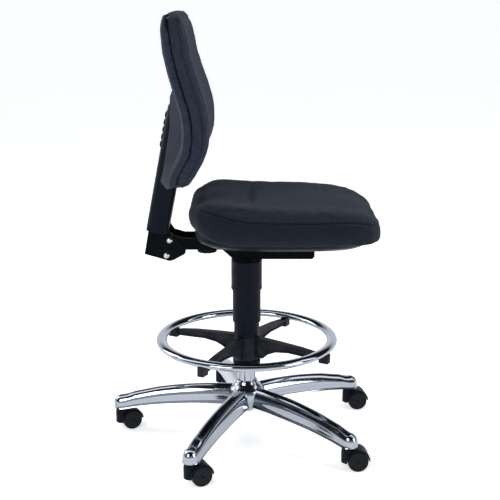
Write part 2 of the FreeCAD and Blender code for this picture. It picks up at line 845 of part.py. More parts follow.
def post_bar():
    """Rectangular steel tube up the middle of the sleeve."""
    half = BAR_W / 2
    x0, x1 = BAR_INSET, BAR_INSET + BAR_DEPTH
    z0, z1 = -60, SLEEVE_LENGTH - 14
    outer = box(x0, x1, -half, half, z0, z1)
    inner = box(x0 + SHEET, x1 - SHEET, -half + SHEET, half - SHEET, z0 - 1, z1 + 1)
    bar = post_place(outer.cut(inner))
    return bar.common(side_prism([(-400, 488), (0, 488), (0, 1200), (-400, 1200)], 100))


def rounded_section(depth, half_w, rear_r, front_r, x0=0.0):
    """A rounded rectangle in the upright's frame, rear face at x0."""
    x1 = x0 + depth
    corners = [
        (x0, -half_w, rear_r, V(1, 0, 0), V(0, 1, 0)),
        (x0, half_w, rear_r, V(0, -1, 0), V(1, 0, 0)),
        (x1, half_w, front_r, V(-1, 0, 0), V(0, -1, 0)),
        (x1, -half_w, front_r, V(0, 1, 0), V(-1, 0, 0)),
    ]
    edges, ends = [], []
    for x, y, r, before, after in corners:
        p = V(x, y, 0)
        start, end = p + before * r, p + after * r
        middle = p + (before + after) * (r * (1 - math.sqrt(0.5)))
        ends.append((start, end))
        edges.append(Part.Arc(start, middle, end).toShape())
    sides = [
        Part.LineSegment(ends[i][1], ends[(i + 1) % 4][0]).toShape() for i in range(4)
    ]
    ordered = [e for pair in zip(edges, sides) for e in pair]
    return Part.Wire(ordered)


def section_solid(depth, half_w, rear_r, front_r, z0, z1, x0=0.0):
    face = Part.Face(rounded_section(depth, half_w, rear_r, front_r, x0))
    solid = face.extrude(V(0, 0, z1 - z0))
    solid.translate(V(0, 0, z0))
    return solid


def sleeve_body(grow, z0, z1, step):
    """The sleeve's outside, grown all round by grow."""
    half, rear_r, front_r = SLEEVE_W / 2 + grow, SLEEVE_REAR_R + grow, SLEEVE_FRONT_R + grow
    low_depth, top_depth = SLEEVE_DEPTH + 2 * grow, SLEEVE_TOP_DEPTH + 2 * grow
    deep = section_solid(low_depth, half, rear_r, front_r, z0, step, -grow)
    shallow = section_solid(top_depth, half, rear_r, front_r, step - 5, z1, -grow)
    return deep.fuse(shallow)


def post_sleeve():
    """Moulded cover of the upright, with webs inside that hold it on the bar."""
    wall = SLEEVE_WALL
    half, rear_r, front_r = SLEEVE_W / 2 - wall, SLEEVE_REAR_R - wall, SLEEVE_FRONT_R - wall
    low_depth, top_depth = SLEEVE_DEPTH - 2 * wall, SLEEVE_TOP_DEPTH - 2 * wall
    low_top, high_top = SLEEVE_STEP - wall, SLEEVE_LENGTH - 6
    low = section_solid(low_depth, half, rear_r, front_r, -1, low_top, wall)
    high = section_solid(top_depth, half, rear_r, front_r, low_top - 1, high_top, wall)
    shell = sleeve_body(0, 0, SLEEVE_LENGTH, SLEEVE_STEP).cut(low.fuse(high))
    webs = [
        section_solid(top_depth + 1, half + 1, rear_r + 1, front_r + 1, z, z + 5, wall - 0.5)
        for z in (60, 130, 210, 280)
    ]
    half_bar = BAR_W / 2 + FIT
    x0, x1 = BAR_INSET - FIT, BAR_INSET + BAR_DEPTH + FIT
    bar_room = box(x0, x1, -half_bar, half_bar, -10, SLEEVE_LENGTH - 14)
    return post_place(shell.fuse(webs).cut(bar_room).removeSplitter())


def post_rack():
    """Toothed strip on the rear of the upright that the height catch rides on."""
    pitch, teeth, half_w = 18.0, 5, 13.0
    z0 = SLEEVE_LENGTH - 14 - teeth * pitch
    outline = [V(0, -half_w, z0)]
    for i in range(teeth):
        z = z0 + pitch * i
        outline += [V(-1.5, -half_w, z + 1), V(-4, -half_w, z + 5), V(-4, -half_w, z + 13)]
        outline += [V(-1.5, -half_w, z + pitch - 1)]
    outline.append(V(0, -half_w, z0 + pitch * teeth))
    strip = closed_face(outline).extrude(V(0, 2 * half_w, 0))
    return post_place(strip)


def tension_knob():
    """Fluted hand knob under the arm."""
    knob = cylinder(24, WEB_BOTTOM - 13, WEB_BOTTOM - GAP, KNOB_X)
    lobes = 12
    flutes = [
        cylinder(
            4,
            WEB_BOTTOM - 20,
            WEB_BOTTOM,
            KNOB_X + 26 * math.cos(2 * math.pi * i / lobes),
            26 * math.sin(2 * math.pi * i / lobes),
        )
        for i in range(lobes)
    ]
    knob = knob.cut(Part.makeCompound(flutes))
    return knob.cut(cylinder(4, 400, 600, KNOB_X))


def tension_screw():
    shank = cylinder(4, WEB_BOTTOM - 12, 512, KNOB_X)
    nut = cylinder(8, WEB_BOTTOM + SHEET + GAP, WEB_BOTTOM + SHEET + 7, KNOB_X)
    return shank.fuse(nut)


# ---------------------------------------------------------------- seat

# x, half width, underside and top of the cushion's cross-sections
SEAT_SECTIONS = [
    (-138, 100, 588, 607),
    (-131, 150, 581, 617),
    (-112, 190, 571, 624),
    (-90, 208, 560, 627),
    (-65, 219, 551, 627),
    (-20, 229, 546, 623),
    (60, 236, 546, 619),
    (150, 235, 546, 617),
    (225, 226, 546, 612),
    (262, 212, 546, 607),
    (288, 192, 546, 600),
    (305, 166, 552, 592),
    (314, 138, 559, 585),
    (319, 104, 567, 578),
]


def seat_section(x, half_w, bottom, top):
    """A cushion cross-section: flat underside, full rounded sides, slightly crowned top."""
    tall = top - bottom
    points = [
        V(x, 0, bottom),
        V(x, -half_w * 0.55, bottom),
        V(x, -half_w * 0.95, bottom + tall * 0.02),
        V(x, -half_w, bottom + tall * 0.28),
        V(x, -half_w * 0.985, bottom + tall * 0.68),
        V(x, -half_w * 0.90, bottom + tall * 0.93),
        V(x, -half_w * 0.5, top - tall * 0.01),
        V(x, 0, top),
    ]
    points += [V(p.x, -p.y, p.z) for p in points[-2:0:-1]]
    return smooth_wire(points)


def seat_cushion():
    """Foam pad with its cover, standing on the seat board."""
    body = Part.makeLoft([seat_section(*s) for s in SEAT_SECTIONS], True, True)
    return body.cut(side_prism(under_board(BOARD_T), 300))


def seat_plan(inset, z):
    """The seat's outline from above, inset all round, at height z."""
    scale_x = 1 - inset / ((SEAT_FRONT - SEAT_REAR) / 2)
    scale_y = 1 - inset / SEAT_HALF_W
    middle = (SEAT_FRONT + SEAT_REAR) / 2
    sides = [(middle + (x - middle) * scale_x, w * scale_y) for x, w, _, _ in SEAT_SECTIONS]
    right = [V(x, -y, z) for x, y in sides]
    left = [V(x, y, z) for x, y in reversed(sides)]
    return smooth_wire(right + left)


def board_line(offset):
    """The board's underside raised by offset, as (x, z) points from rear to front."""
    line = [
        (-150, 584),
        (-128, 569),
        (-105, 556),
        (-84, 546),
        (-62, 540),
        (-40, BOARD_BOTTOM),
        (400, BOARD_BOTTOM),
    ]
    return [(x, z + offset) for x, z in line]


def under_board(offset):
    return board_line(offset) + [(400, 400), (-150, 400)]


def seat_board():
    """Moulded plywood board, bent up at the rear, bored for the threaded inserts."""
    plan = Part.Face(seat_plan(BOARD_INSET, 500)).extrude(V(0, 0, 200))
    sheet = side_prism(board_line(0) + board_line(BOARD_T)[::-1], 300)
    screw_ways = [cylinder(3.2, 500, BOARD_BOTTOM + 8, *p) for p in plate_screw_places()]
    insert_ways = [cylinder(INSERT_R, 500, BOARD_BOTTOM + 8, *p) for p in insert_places()]
    return sheet.common(plan).cut(screw_ways + insert_ways)


def insert_places():
    return [(x, side * ARMREST_Y) for side in (-1, 1) for x in ARMREST_X]


def armrest_inserts():
    """Threaded sleeves that reach the shell's underside, two on each side."""
    z0, z1 = BOARD_BOTTOM - SHELL_DEPTH, BOARD_BOTTOM + 8
    return [tube(INSERT_R, THREAD_R, z0, z1, x, y) for x, y in insert_places()]


def tray(shrink, z_low):
    """A pan that widens upwards from z_low to the rim, and goes straight up from there."""
    rim = BOARD_BOTTOM + BOARD_T
    rows = [(72, 0.0), (38, 0.35), (22, 0.7), (RIM_INSET, 1.0)]
    wires = [seat_plan(inset + shrink, z_low + (rim - z_low) * part) for inset, part in rows]
    return Part.makeLoft(wires + [seat_plan(RIM_INSET + shrink, rim + 60)], True, True)


def above_shell(offset):
    """The side outline of what lies above the shell's underside raised by offset."""
    return board_line(offset - SHELL_DEPTH) + [(400, 800), (-150, 800)]


def seat_shell():
    """Plastic pan under the board, cut out for the mechanism and the back arm."""
    bottom = BOARD_BOTTOM - SHELL_DEPTH
    outer = tray(0, bottom).common(side_prism(above_shell(0.2), 300))
    inner = tray(SHELL_WALL, bottom + SHELL_WALL)
    inner = inner.common(side_prism(above_shell(SHELL_WALL + 0.2), 300))
    pan = outer.cut(inner).common(side_prism(under_board(BOARD_T), 300))
    half_plate = PLATE_HALF_W + 2
    plate_room = box(PLATE_REAR - 24, PLATE_FRONT + 22, -half_plate, half_plate, 400, 700)
    arm_room = box(-200, PLATE_REAR, -ARM_OUT - 6, ARM_OUT + 6, 400, 700)
    insert_ways = [cylinder(INSERT_R, 500, 540, *p) for p in insert_places()]
    pan = pan.cut([plate_room, arm_room] + insert_ways)
    return max(pan.Solids, key=lambda s: s.Volume)


# ---------------------------------------------------------------- backrest

# height, x of the seam at the side edge, half width
BACK_SECTIONS = [
    (BACK_BOTTOM, -163, 128),
    (676, -161, 150),
    (700, -152, 178),
    (730, -135, 194),
    (756, -121, 201),
    (790, -116, 205),
    (820, -116, 206),
    (850, -121, 205),
    (890, -133, 201),
    (930, -146, 194),
    (980, -159, 184),
    (1030, -167, 170),
    (1056, -169, 150),
    (BACK_TOP, -170, 124),
]
# height, how far the middle lies behind the edges, cushion thickness, rear pad thickness
BACK_THICKNESS = [
    (BACK_BOTTOM, 2, 14, 8),
    (676, 2, 24, 12),
    (700, 3, 30, 15),
    (756, 9, 31, 15),
    (820, 12, 31, 15),
    (890, 14, 32, 15),
    (980, 12, 30, 14),
    (1030, 10, 29, 12),
    (1056, 9, 24, 9),
    (BACK_TOP, 8, 16, 5),
]


def back_slice(z, front_offset, rear_offset, narrower):
    """A horizontal slice of a curved panel, between two offsets from the seam surface."""
    seam = interpolate(BACK_SECTIONS, z, 1)
    full_w = interpolate(BACK_SECTIONS, z, 2)
    half_w = full_w - narrower
    hollow = interpolate(BACK_THICKNESS, z, 1)

    def curve(offset, direction):
        ys = [direction * half_w * t for t in (-1, -0.5, 0, 0.5, 1)]
        spline = Part.BSplineCurve()
        spline.interpolate([V(seam + hollow * ((y / full_w) ** 2 - 1) + offset, y, z) for y in ys])
        return spline

    front, rear = curve(front_offset, 1), curve(rear_offset, -1)
    return Part.Wire(
        [
            front.toShape(),
            Part.LineSegment(front.EndPoint, rear.StartPoint).toShape(),
            rear.toShape(),
            Part.LineSegment(rear.EndPoint, front.StartPoint).toShape(),
        ]
    )


def back_panel(front, rear, narrower, z0=BACK_BOTTOM, z1=BACK_TOP):
    """Lofts slices whose front and rear offsets are functions of the height."""
    between = [row[0] for row in BACK_SECTIONS if z0 + 6 < row[0] < z1 - 6]
    heights = [z0] + between + [z1]
    return Part.makeLoft([back_slice(z, front(z), rear(z), narrower) for z in heights], True, True)


def sleeve_room(grow):
    """The room the upright needs inside the backrest over its whole travel."""
    return post_place(sleeve_body(grow, -80, SLEEVE_LENGTH + 32, SLEEVE_STEP + 32))


def back_board():
    """Moulded inner shell of the backrest."""
    panel = back_panel(lambda z: -GAP, lambda z: -BACK_T, 10, 712, BACK_TOP - 12)
    panel = panel.cut(sleeve_room(2))
    ways = [Part.makeCylinder(3, 200, V(-300, y, z), ALONG_X) for y, z in back_screw_places()]
    return max(panel.cut(ways).Solids, key=lambda s: s.Volume)


def back_cushion():
    body = back_panel(lambda z: interpolate(BACK_THICKNESS, z, 2), lambda z: 0.0, 0)
    body = body.cut(sleeve_room(2))
    return max(body.Solids, key=lambda s: s.Volume)


def back_rear_pad():
    """Upholstered rear cover, with a channel for the housing."""
    def rear(z):
        return -BACK_T - interpolate(BACK_THICKNESS, z, 3)

    body = back_panel(lambda z: -BACK_T - 2 * GAP, rear, 3, 684, BACK_TOP - 5)
    channel = box(-400, 0, -HOUSING_HALF_W, HOUSING_HALF_W, 600, HOUSING_TOP)
    return max(body.cut(channel).Solids, key=lambda s: s.Volume)


def back_housing():
    """Plastic guide that grips the upright's flanks, open at the rear."""
    rear_edge = [
        (-192, HOUSING_BOTTOM),
        (-205, HOUSING_BOTTOM + 18),
        (-206, 671),
        (-200, 693),
        (-194, 728),
        (-187, 767),
        (-182, 800),
        (-181, 840),
        (-180, 872),
        (-174, HOUSING_TOP),
    ]
    heights = (HOUSING_TOP, 850, 820, 790, 756, 730, 712)
    front_edge = [(z, back_middle(z) - BACK_T - GAP) for z in heights]
    outline = rear_edge + [(x, z) for z, x in front_edge]
    outline += [(back_middle(700) - GAP, 708), (-166, 684), (-168, HOUSING_BOTTOM + 6)]
    body = side_prism(outline, HOUSING_HALF_W).cut(sleeve_room(GAP))
    ways = [Part.makeCylinder(3, 200, V(-300, y, z), ALONG_X) for y, z in back_screw_places()]
    return max(body.cut(ways).Solids, key=lambda s: s.Volume)


def back_middle(z):
    """x of the seam surface at the chair's middle plane."""
    return interpolate(BACK_SECTIONS, z, 1) - interpolate(BACK_THICKNESS, z, 1)


def back_screw_places():
    return [(y, z) for y in (-48.3, 48.3) for z in (740.0, 862.0)]


def back_screws():
    """Four socket screws that hold the housing to the inner shell."""
    screws = []
    for y, z in back_screw_places():
        x0, x1 = back_middle(z) - BACK_T - 16, back_middle(z) - 1.5
        shank = Part.makeCylinder(3, x1 - x0, V(x0, y, z), ALONG_X)
        socket = Part.makeCylinder(1.5, 4, V(x0 - 1, y, z), ALONG_X)
        screws.append(shank.cut(socket))
    return screws


# ---------------------------------------------------------------- build

os.makedirs("parts", exist_ok=True)
save("star_base", star_base())
save("caster_stems", *caster_stems())
save("caster_sockets", *caster_sockets())
build_casters()
save("column_tube", column_tube())
save("column_bush", column_bush())
save("piston_rod", piston_rod())
save("column_clip", *column_clip())
save("thrust_bearing", *thrust_bearing())
save("gas_cylinder", gas_cylinder())
save("release_pin", release_pin())
save("cover_upper", cover_upper())
save("cover_middle", cover_stage("middle"))
save("cover_lower", cover_stage("lower"))
save("foot_ring_tube", foot_ring_tube())
save("foot_ring_hub", foot_ring_hub())
save("foot_ring_screws", *foot_ring_screws())
save("foot_ring_collet", foot_ring_collet())
save("foot_ring_lock", foot_ring_lock())
save("mech_housing", mech_housing())
save("mech_lid", mech_lid())
save("mech_plate", mech_plate())
save("mech_screws", *mech_screws())
save("back_pivot_pin", back_pivot_pin())
save("tilt_spring", tilt_spring())
save("lift_lever", lever_rod(LIFT_LEVER_X))
save("lift_lever_grip", lever_grip(LIFT_LEVER_X))
save("lock_lever", lock_lever())
save("lock_lever_grip", lever_grip(LOCK_LEVER_X))
save("back_arm", back_arm())
save("back_bracket", back_bracket())
save("post_bolts", *post_bolts())
save("post_bar", post_bar())
save("post_sleeve", post_sleeve())
save("post_rack", post_rack())
save("tension_knob", tension_knob())
save("tension_screw", tension_screw())
save("seat_cushion", seat_cushion())
save("seat_board", seat_board())
save("seat_shell", seat_shell())
save("armrest_inserts", *armrest_inserts())
save("back_board", back_board())
save("back_cushion", back_cushion())
save("back_rear_pad", back_rear_pad())
save("back_housing", back_housing())
save("back_screws", *back_screws())
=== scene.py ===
import json
import math

import bmesh
import bpy
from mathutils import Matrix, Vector


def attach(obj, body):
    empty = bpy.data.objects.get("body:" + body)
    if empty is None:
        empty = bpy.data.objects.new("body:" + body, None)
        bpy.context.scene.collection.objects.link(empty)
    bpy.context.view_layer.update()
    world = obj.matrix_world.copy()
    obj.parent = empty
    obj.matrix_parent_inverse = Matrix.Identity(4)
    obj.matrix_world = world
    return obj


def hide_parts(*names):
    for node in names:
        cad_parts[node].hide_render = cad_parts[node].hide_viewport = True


# The looks of a drafting chair, round its CAD frame: materials for every CAD node, a cast
# five-leg base, and sewn cushions for the seat and both sides of the backrest.
# The sitter faces +X. The camera looks along +Y, at the sitter's right side.

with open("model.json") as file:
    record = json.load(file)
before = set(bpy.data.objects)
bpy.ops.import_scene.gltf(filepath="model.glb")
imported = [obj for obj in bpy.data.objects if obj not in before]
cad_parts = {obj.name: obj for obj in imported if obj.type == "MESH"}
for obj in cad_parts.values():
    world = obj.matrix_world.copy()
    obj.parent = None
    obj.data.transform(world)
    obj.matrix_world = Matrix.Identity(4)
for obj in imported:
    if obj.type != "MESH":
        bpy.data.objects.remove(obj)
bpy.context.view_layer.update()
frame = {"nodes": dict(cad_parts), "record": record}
NODES = frame["nodes"]

# ---------------------------------------------------------------- measures

CAMERA_AT = (0.0084, -2.5616, 1.1337)  # in metres
CAMERA_DOWN = 14.17  # degrees below the horizon
CAMERA_LENS = 76.55  # focal length and sensor width, in millimetres
SENSOR_W = 36

MM = 0.001  # the object's measures are in millimetres, unless a comment says metres

# The base. Each leg has a rounded ridge on a flared skirt.
LEGS = 5
FIRST_LEG = math.radians(30.8)
LEG_ROOT = 25  # where a leg starts inside the hub, clear of the stand tube
LEG_TIP = 325  # where its rounded end starts, over the caster's stem
# distance from the axis, underside, top and half width
LEG_SECTIONS = [
    (20, 86, 133, 25),
    (90, 85, 132, 24),
    (160, 81, 127, 23),
    (230, 75, 117, 22.4),
    (290, 66, 103, 22),
    (325, 59, 92, 22),
]
# a leg's flank, from the ridge down: share of the half width, share of the height
LEG_FLANK = [
    (0.86, 0.34),
    (0.862, 0.29),
    (0.88, 0.22),
    (0.92, 0.12),
    (0.97, 0.04),
    (1.0, 0.01),
    (0.96, 0.0),
]
LEG_STATIONS = 46  # cross-sections from the root to the tip
TIP_STATIONS = 14  # cross-sections round the end
TIP_LAST = 14.3  # a little over TIP_STATIONS, so that the last one isn't a point
RIDGE_STEPS = 14  # points from the ridge's middle to the flank
# radius and height round the hub's profile, from the top of its bore
HUB_PROFILE = [
    (22.6, 148),
    (26, 147.6),
    (27.5, 146),
    (29, 142.5),
    (32, 138),
    (36, 133.5),
    (41, 129),
    (45, 123),
    (47, 116),
    (47.4, 105),
    (47, 87),
    (45.5, 84.5),
    (42, 84),
    (30, 84),
    (23, 84),
]
HUB_STEPS = 96  # points round the hub
CAST_EDGE = 32  # degrees, from which an edge of the casting looks sharp

# x and height of the line where the seat's boxing meets its top panel
SEAT_SEAM = [
    (-140, 622),
    (-100, 622),
    (-70, 618),
    (-35, 611),
    (5, 605),
    (60, 604),
    (230, 602),
    (265, 597),
    (290, 590),
    (305, 583),
    (320, 575),
]
BOARD_TOP = 0.5495  # in metres: what the seat cushion's front edge comes down to

# height, x of the backrest's seam at its sides, half width, how far back the middle lies,
# cushion thickness
BACK_SHAPE = [
    (668, -163, 128, 2, 14),
    (676, -161, 150, 2, 24),
    (700, -152, 178, 3, 30),
    (730, -135, 194, 6, 31),
    (756, -121, 201, 9, 31),
    (790, -116, 205, 10.5, 31),
    (820, -116, 206, 12, 31),
    (850, -121, 205, 13, 31.5),
    (890, -133, 201, 14, 32),
    (930, -146, 194, 13, 31),
    (980, -159, 184, 12, 30),
    (1030, -167, 170, 10, 29),
    (1056, -169, 150, 9, 24),
    (1066, -170, 124, 8, 16),
]
BACK_SEAM_X, BACK_HALF_W, BACK_HOLLOW, BACK_THICK = 1, 2, 3, 4  # its columns
BACK_EDGE = 0.62  # the front cushion's sewn edge, as a share of its thickness
FRONT_PAD_START = -0.0034  # the front cushion's rim from the seam surface, in metres
REAR_PAD_START = -0.0052  # the rear pad's rim, the same way

# CAD nodes with sharp edges in view that are shown rounded, by ROUNDING metres
ROUNDED = (
    "mech_housing",
    "mech_lid",
    "back_arm",
    "back_bracket",
    "post_sleeve",
    "seat_shell",
    "back_housing",
)
ROUNDING = 0.0009


# ---------------------------------------------------------------- node helpers


class Nodes:
    """A material's node tree, with short calls to add and link nodes. Sizes are in metres."""

    def __init__(self, name, colour, roughness, metallic=0.0):
        self.material = bpy.data.materials.new(name)
        self.material.use_nodes = True
        self.tree = self.material.node_tree
        self.shader = self.tree.nodes["Principled BSDF"]
        self.set(self.shader, "Base Color", (*colour, 1))
        self.set(self.shader, "Roughness", roughness)
        self.set(self.shader, "Metallic", metallic)

    def set(self, node, socket, value):
        node.inputs[socket].default_value = value

    def add(self, kind, **values):
        node = self.tree.nodes.new(kind)
        for key, value in values.items():
            setattr(node, key, value)
        return node

    def link(self, out, into):
        self.tree.links.new(out, into)

    def split(self, vector):
        """The x, y and z of a vector."""
        node = self.add("ShaderNodeSeparateXYZ")
        self.link(vector, node.inputs[0])
        return node.outputs

    def place(self, scale=(1, 1, 1)):
        """The point on the object, times scale."""
        coords = self.add("ShaderNodeTexCoord")
        mapping = self.add("ShaderNodeMapping")
        self.set(mapping, "Scale", scale)
        self.link(coords.outputs["Object"], mapping.inputs["Vector"])
        return mapping.outputs["Vector"]

    def noise(self, size, detail, vector=None, rough=0.55):
        """Noise whose blobs are about size across."""
        node = self.add("ShaderNodeTexNoise")
        self.set(node, "Scale", 1.0 / size)
        self.set(node, "Detail", detail)
        self.set(node, "Roughness", rough)
        self.link(vector or self.place(), node.inputs["Vector"])
        return node.outputs["Fac"]

    def cells(self, size):
        """Distance from the middle of cells that are about size across."""
        node = self.add("ShaderNodeTexVoronoi", feature="F1")
        self.set(node, "Scale", 1.0 / size)
        self.link(self.place(), node.inputs["Vector"])
        return node.outputs["Distance"]

    def math(self, kind, *values):
        """Each value is a number or another node's output."""
        node = self.add("ShaderNodeMath", operation=kind)
        for socket, value in zip(node.inputs, values):
            if isinstance(value, (int, float)):
                socket.default_value = value
            else:
                self.link(value, socket)
        return node.outputs[0]

    def ramp(self, value, *stops):
        """The colour at value, where stops are (value, colour) pairs."""
        node = self.add("ShaderNodeValToRGB")
        fill_ramp(node, stops)
        self.link(value, node.inputs["Fac"])
        return node.outputs["Color"]

    def mixed(self, amount, out, colour):
        """The colour from out, turned towards a plain colour by amount."""
        node = self.add("ShaderNodeMix", data_type="RGBA")
        from_colour, to_colour = [s for s in node.inputs if s.type == "RGBA"]
        self.link(amount, node.inputs["Factor"])
        self.link(out, from_colour)
        to_colour.default_value = (*colour, 1)
        return [s for s in node.outputs if s.type == "RGBA"][0]

    def range(self, value, before, after):
        """Maps the range of numbers before onto the range after, and stops at its ends."""
        node = self.add("ShaderNodeMapRange")
        sockets = ("From Min", "From Max", "To Min", "To Max")
        for socket, number in zip(sockets, (*before, *after)):
            self.set(node, socket, number)
        self.link(value, node.inputs["Value"])
        return node.outputs["Result"]

    def mark(self, name):
        """A number that the piece's mesh carries on its points."""
        return self.add("ShaderNodeAttribute", attribute_name=name).outputs["Fac"]

    def colour(self, out):
        self.link(out, self.shader.inputs["Base Color"])

    def roughness(self, out):
        self.link(out, self.shader.inputs["Roughness"])

    def bump(self, height, depth, strength):
        """Adds a bump over those already there."""
        node = self.add("ShaderNodeBump")
        self.set(node, "Distance", depth)
        self.set(node, "Strength", strength)
        self.link(height, node.inputs["Height"])
        into = self.shader.inputs["Normal"]
        if into.links:
            self.link(into.links[0].from_socket, node.inputs["Normal"])
        self.link(node.outputs["Normal"], into)


def fill_ramp(node, stops):
    """Gives a ramp node its stops, (value, colour) pairs."""
    elements = node.color_ramp.elements
    while len(elements) < len(stops):
        elements.new(0.5)
    for element, (value, colour) in zip(elements, stops):
        element.position = value
        element.color = (*colour, 1)


def scaled(colour, factor, lift=0.0):
    return tuple(c * factor + lift for c in colour)


# ---------------------------------------------------------------- materials


def knit_weave(n, stitch):
    """Height of a plain knit, 0 to 1, on any side of a piece. stitch is a stitch's length."""
    place = n.split(n.add("ShaderNodeTexCoord").outputs["Object"])
    facing = n.split(n.add("ShaderNodeNewGeometry").outputs["Normal"])
    turns = 2 * math.pi / stitch
    sines = [n.math("SINE", n.math("MULTIPLY", place[i], turns)) for i in range(3)]
    cosines = [n.math("COSINE", n.math("MULTIPLY", place[i], turns)) for i in range(3)]
    height = None
    for axis, (a, b) in enumerate(((1, 2), (0, 2), (0, 1))):
        weight = n.math("POWER", n.math("ABSOLUTE", facing[axis]), 4.0)
        wave = n.math("MULTIPLY", sines[a], cosines[b])
        loops = n.math("ADD", n.math("MULTIPLY", wave, 0.5), 0.5)
        loops = n.math("MULTIPLY", loops, weight)
        height = loops if height is None else n.math("ADD", height, loops)
    return height


def fabric(name, tone):
    """Knitted cover cloth, flecked, with painted shade in its seams and tuck and on its boxing."""
    n = Nodes(name, tone, 0.92)
    weave = knit_weave(n, stitch=0.0024)
    mottle = n.noise(0.006, detail=4.0)
    heather = n.noise(0.011, detail=5.0, rough=0.75)
    threads = n.math("ADD", n.math("MULTIPLY", weave, 0.45), n.math("MULTIPLY", mottle, 0.35))
    flecks = n.math("MULTIPLY", n.math("SUBTRACT", heather, 0.38), 1.3)
    shade = n.ramp(
        n.math("ADD", threads, flecks),
        (0.12, scaled(tone, 0.55)),
        (0.48, tone),
        (0.95, scaled(tone, 1.5)),
    )
    # painted shade: the seam and boxing marks darken the cloth towards a dark blue, in the seams
    # and tuck, over the seat, and most on its boxing
    seam = n.math("MULTIPLY", n.mark("seam"), 0.6)
    boxing = n.math("MULTIPLY", n.mark("boxing"), 0.4)
    red, green, blue = tone
    n.colour(n.mixed(n.math("ADD", seam, boxing), shade, (red * 0.12, green * 0.14, blue * 0.18)))
    n.roughness(n.range(mottle, (0.3, 0.7), (0.86, 0.97)))
    n.bump(n.noise(0.05, detail=2.0), depth=0.0010, strength=0.6)
    n.bump(n.noise(0.0012, detail=2.0), depth=0.0003, strength=0.7)
    n.bump(weave, depth=0.0006, strength=0.9)
    n.set(n.shader, "Sheen Weight", 0.08)
    n.set(n.shader, "Sheen Roughness", 0.45)
    n.set(n.shader, "Sheen Tint", (0.75, 0.82, 1.0, 1))
    n.set(n.shader, "Specular IOR Level", 0.12)
    return n.material


def moulded(name, tone, rough):
    """Moulded plastic with a fine spark-eroded grain and faint handling marks."""
    n = Nodes(name, tone, rough)
    n.set(n.shader, "Specular IOR Level", 0.08)
    cloud = n.noise(0.05, detail=4.0)
    n.colour(n.ramp(cloud, (0.3, scaled(tone, 0.85)), (0.7, scaled(tone, 1.15))))
    handled = n.noise(0.02, detail=5.0)
    n.roughness(n.range(handled, (0.3, 0.7), (rough - 0.06, rough + 0.08)))
    n.bump(n.cells(0.0009), depth=0.00012, strength=0.8)
    return n.material


def painted(name, tone, rough):
    """Powder-coated steel: orange peel, and a little lighter where edges wear."""
    n = Nodes(name, tone, rough)
    n.set(n.shader, "Specular IOR Level", 0.03)
    cloud = n.noise(0.03, detail=4.0)
    n.roughness(n.range(cloud, (0.3, 0.7), (rough - 0.07, rough + 0.07)))
    n.bump(n.noise(0.0022, detail=2.0), depth=0.00015, strength=0.7)
    n.colour(n.ramp(edge_wear(n), (0.0, tone), (1.0, scaled(tone, 3, 0.003))))
    return n.material


def edge_wear(n):
    """1 on convex edges, 0 elsewhere, broken up by noise."""
    point = n.add("ShaderNodeNewGeometry").outputs["Pointiness"]
    edge = n.range(point, (0.56, 0.68), (0.0, 1.0))
    chips = n.range(n.noise(0.009, detail=4.0), (0.35, 0.6), (0.2, 1.0))
    return n.math("MULTIPLY", edge, chips)


def polished(name, tone, rough, brushed=0.0):
    """Polished or plated metal with faint wiping marks. brushed is the depth of its lines."""
    n = Nodes(name, tone, rough, metallic=1.0)
    smear = n.noise(0.03, detail=5.0)
    n.roughness(n.range(smear, (0.3, 0.75), (rough * 0.7, rough * 1.7)))
    if brushed:
        lines = n.noise(0.0012, detail=3.0, vector=n.place((1, 1, 0.03)))
        n.bump(lines, depth=0.00003, strength=brushed)
    return n.material


def cast_metal(name, tone, rough):
    """Black-finished casting, lighter where shoes rub it."""
    n = Nodes(name, tone, rough)
    n.set(n.shader, "Specular IOR Level", 0.14)
    speck = n.noise(0.003, detail=5.0)
    rubbed = n.range(n.noise(0.03, detail=5.0), (0.42, 0.66), (0.0, 1.0))
    worn = n.math("MULTIPLY", rubbed, n.range(speck, (0.35, 0.6), (0.3, 1.0)))
    n.colour(n.ramp(worn, (0.0, tone), (1.0, scaled(tone, 3.2, 0.005))))
    n.roughness(n.range(speck, (0.3, 0.7), (rough - 0.1, rough + 0.12)))
    n.bump(speck, depth=0.0003, strength=0.6)
    return n.material


def wood(name):
    """Dark plywood, its grain along X."""
    dark, middle, light = (0.016, 0.012, 0.009), (0.034, 0.025, 0.018), (0.05, 0.037, 0.026)
    n = Nodes(name, (0.03, 0.022, 0.016), 0.6)
    grain = n.noise(0.004, detail=4.0, vector=n.place((0.08, 1, 1)))
    n.colour(n.ramp(grain, (0.3, dark), (0.6, middle), (0.8, light)))
    n.bump(grain, depth=0.0002, strength=0.6)
    return n.material


# named as the record's material slots
MATERIALS = {
    "cover_fabric": fabric("cover_fabric", (0.0165, 0.0218, 0.0355)),
    "black_plastic": moulded("black_plastic", (0.0018, 0.0038, 0.0090), 0.42),
    "grey_plastic": moulded("grey_plastic", (0.054, 0.060, 0.080), 0.5),
    "guide_plastic": moulded("guide_plastic", (0.6, 0.58, 0.52), 0.5),
    "wheel_tread": moulded("wheel_tread", (0.009, 0.010, 0.013), 0.4),
    "black_steel": painted("black_steel", (0.0009, 0.0015, 0.0024), 0.38),
    "cast_black": cast_metal("cast_black", (0.004, 0.0048, 0.0078), 0.5),
    "chrome": polished("chrome", (0.385, 0.413, 0.46), 0.06),
    "aluminium_polished": polished("aluminium_polished", (0.345, 0.373, 0.42), 0.09, 0.12),
    "steel": polished("steel", (0.56, 0.57, 0.59), 0.28, 0.6),
    "plywood": wood("plywood"),
}


def paint_nodes():
    """Gives every CAD node the material of its slot, and black plastic to what shows between."""
    slots = {s["node"]: s["material_slot"] for s in frame["record"]["subparts"]}
    for name, node in NODES.items():
        # the back board shows only in the gap between the back cushions, and its black there is
        # painted shade
        shows_between = name == "back_board" or name.startswith("caster_axle")
        node.data.materials.clear()
        node.data.materials.append(MATERIALS["black_plastic" if shows_between else slots[name]])


# ---------------------------------------------------------------- light, floor and camera

